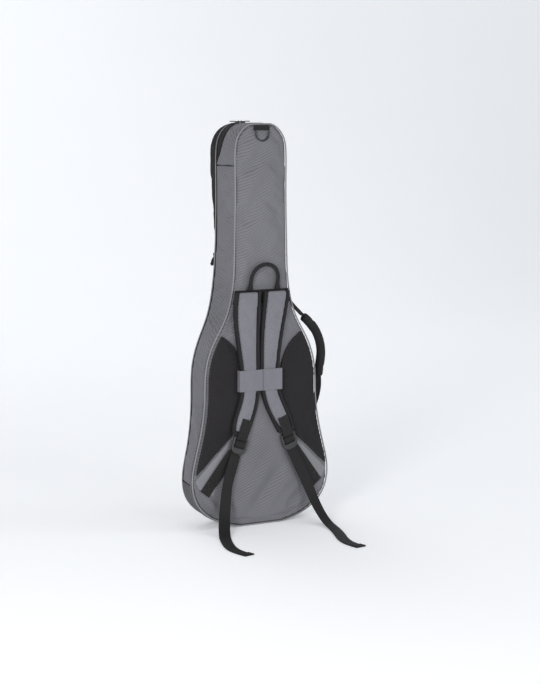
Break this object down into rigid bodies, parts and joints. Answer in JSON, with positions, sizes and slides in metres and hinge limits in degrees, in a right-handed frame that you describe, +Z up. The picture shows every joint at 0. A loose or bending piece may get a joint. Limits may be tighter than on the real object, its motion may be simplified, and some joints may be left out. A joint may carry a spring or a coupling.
{
  "type": "padded gig bag",
  "caption": "Padded electric guitar gig bag with a book-style zipped lid, tucked-together backpack straps, air mesh back pads, grab handle, side handle and hang loop",
  "frame": {"origin": "middle of the flat base, on the surface it stands on", "axes": "+Z up the bag's length, -Y out of the back panel with the straps, +Y out of the lid, +X towards the side handle"},
  "size_m": [0.4408, 0.5038, 1.0455],
  "materials": {
    "grey_twill": "woven polyester twill, padded, slightly wrinkled",
    "dark_twill": "coarser hard-wearing base fabric",
    "black_fabric": "plain black woven fabric",
    "webbing": "flat ribbed polypropylene webbing",
    "air_mesh": "open spacer mesh over soft foam",
    "light_piping": "light grey woven piping",
    "light_twill": "light grey twill patch",
    "foam": "closed cell foam",
    "plush": "short pile lining",
    "plastic": "moulded nylon with a slight sheen",
    "zip_metal": "black enamelled zinc"
  },
  "bodies": {
    "shell": {"back_panel": "grey_twill", "back_foam": "foam", "back_lining": "plush", "back_piping": "light_piping", "gusset_left": "grey_twill", "gusset_right": "grey_twill", "crown_cap": "grey_twill", "crown_zip_panel": "black_fabric", "side_zip_tape": "black_fabric", "base_bumper": "dark_twill", "mesh_pad_left": "air_mesh", "mesh_pad_right": "air_mesh", "anchor_patch_left": "light_twill", "anchor_patch_right": "light_twill", "yoke_patch": "black_fabric", "hang_loop_tab": "webbing", "side_handle_patch_upper": "webbing", "side_handle_patch_lower": "webbing", "neck_cradle": "foam", "end_pin_block": "foam", "headstock_pad": "foam", "lower_webbing_left": "webbing", "lower_webbing_right": "webbing"},
    "lid": {"front_panel": "grey_twill", "front_foam": "foam", "front_lining": "plush", "front_piping": "light_piping", "lid_edge_tape": "black_fabric", "headstock_pocket": "black_fabric", "headstock_zip": "black_fabric", "front_pocket": "grey_twill", "front_zip": "black_fabric"},
    "straps": {"strap_left": "grey_twill", "strap_right": "grey_twill", "strap_binding_left": "black_fabric", "strap_binding_right": "black_fabric", "strap_wrap": "grey_twill", "strap_tab_left": "webbing", "strap_tab_right": "webbing", "tail_left": "webbing", "tail_right": "webbing"},
    "side_handle": {"side_handle_grip": "black_fabric", "side_handle_webbing_upper": "webbing", "side_handle_webbing_lower": "webbing"},
    "wrap_flap": {"wrap_flap": "grey_twill"},
    "buckle_left": {"buckle_left": "plastic"},
    "buckle_right": {"buckle_right": "plastic"},
    "hang_loop": {"hang_loop": "plastic"},
    "grab_handle": {"grab_handle": "webbing"},
    "main_slider_left": {"main_slider_left": "zip_metal"},
    "main_slider_right": {"main_slider_right": "zip_metal"},
    "main_pull_left": {"main_pull_left": "plastic"},
    "main_pull_right": {"main_pull_right": "plastic"},
    "pocket_slider": {"pocket_slider": "zip_metal"},
    "pocket_pull": {"pocket_pull": "plastic"},
    "headstock_slider": {"headstock_slider": "zip_metal"},
    "headstock_pull": {"headstock_pull": "plastic"}
  },
  "joints": [
    {"name": "lid_hinge", "type": "hinge", "parent": "shell", "child": "lid", "pos_m": [-0.184, 0.0458, 0.5], "axis": [0, 0, 1], "range_deg": [0, 100]},
    {"name": "straps_lift", "type": "hinge", "parent": "shell", "child": "straps", "pos_m": [0, -0.056, 0.614], "axis": [-1, 0, 0], "range_deg": [0, 20]},
    {"name": "wrap_flap_hinge", "type": "hinge", "parent": "straps", "child": "wrap_flap", "pos_m": [0.0502, -0.0731, 0.3835], "axis": [0, 0, 1], "range_deg": [0, 120]},
    {"name": "buckle_left_tilt", "type": "hinge", "parent": "straps", "child": "buckle_left", "pos_m": [-0.0685, -0.068, 0.236], "axis": [-0.9455, 0, 0.3256], "range_deg": [-5, 20]},
    {"name": "buckle_right_tilt", "type": "hinge", "parent": "straps", "child": "buckle_right", "pos_m": [0.0685, -0.068, 0.236], "axis": [-0.9455, 0, -0.3256], "range_deg": [-5, 20]},
    {"name": "hang_loop_swing", "type": "hinge", "parent": "shell", "child": "hang_loop", "pos_m": [0, -0.059, 1.021], "axis": [-1, 0, 0], "range_deg": [0, 165]},
    {"name": "grab_handle_swing", "type": "hinge", "parent": "shell", "child": "grab_handle", "pos_m": [0.003, -0.059, 0.618], "axis": [1, 0, 0], "range_deg": [-8, 64]},
    {"name": "side_handle_swing", "type": "hinge", "parent": "shell", "child": "side_handle", "pos_m": [0.103, -0.008, 0.583], "axis": [0.2682, 0, -0.9634], "range_deg": [-25, 25]},
    {"name": "main_slider_left_slide", "type": "slide", "parent": "shell", "child": "main_slider_left", "axis": [1, 0, 0], "range_m": [-0.008, 0]},
    {"name": "main_slider_right_slide", "type": "slide", "parent": "shell", "child": "main_slider_right", "axis": [1, 0, 0], "range_m": [0, 0.02]},
    {"name": "main_pull_left_lift", "type": "hinge", "parent": "main_slider_left", "child": "main_pull_left", "pos_m": [-0.0256, 0.041, 1.0437], "axis": [0, 1, 0], "range_deg": [0, 90]},
    {"name": "main_pull_right_lift", "type": "hinge", "parent": "main_slider_right", "child": "main_pull_right", "pos_m": [0.0056, 0.041, 1.0437], "axis": [0, -1, 0], "range_deg": [0, 90]},
    {"name": "pocket_slider_slide", "type": "slide", "parent": "lid", "child": "pocket_slider", "axis": [1, 0, 0], "range_m": [0, 0.13]},
    {"name": "pocket_pull_lift", "type": "hinge", "parent": "pocket_slider", "child": "pocket_pull", "pos_m": [-0.068, 0.0722, 0.694], "axis": [1, 0, 0], "range_deg": [-30, 110]},
    {"name": "headstock_slider_slide", "type": "slide", "parent": "lid", "child": "headstock_slider", "axis": [1, 0, 0], "range_m": [-0.092, 0]},
    {"name": "headstock_pull_lift", "type": "hinge", "parent": "headstock_slider", "child": "headstock_pull", "pos_m": [0.046, 0.0962, 0.938], "axis": [1, 0, 0], "range_deg": [0, 150]}
  ]
}
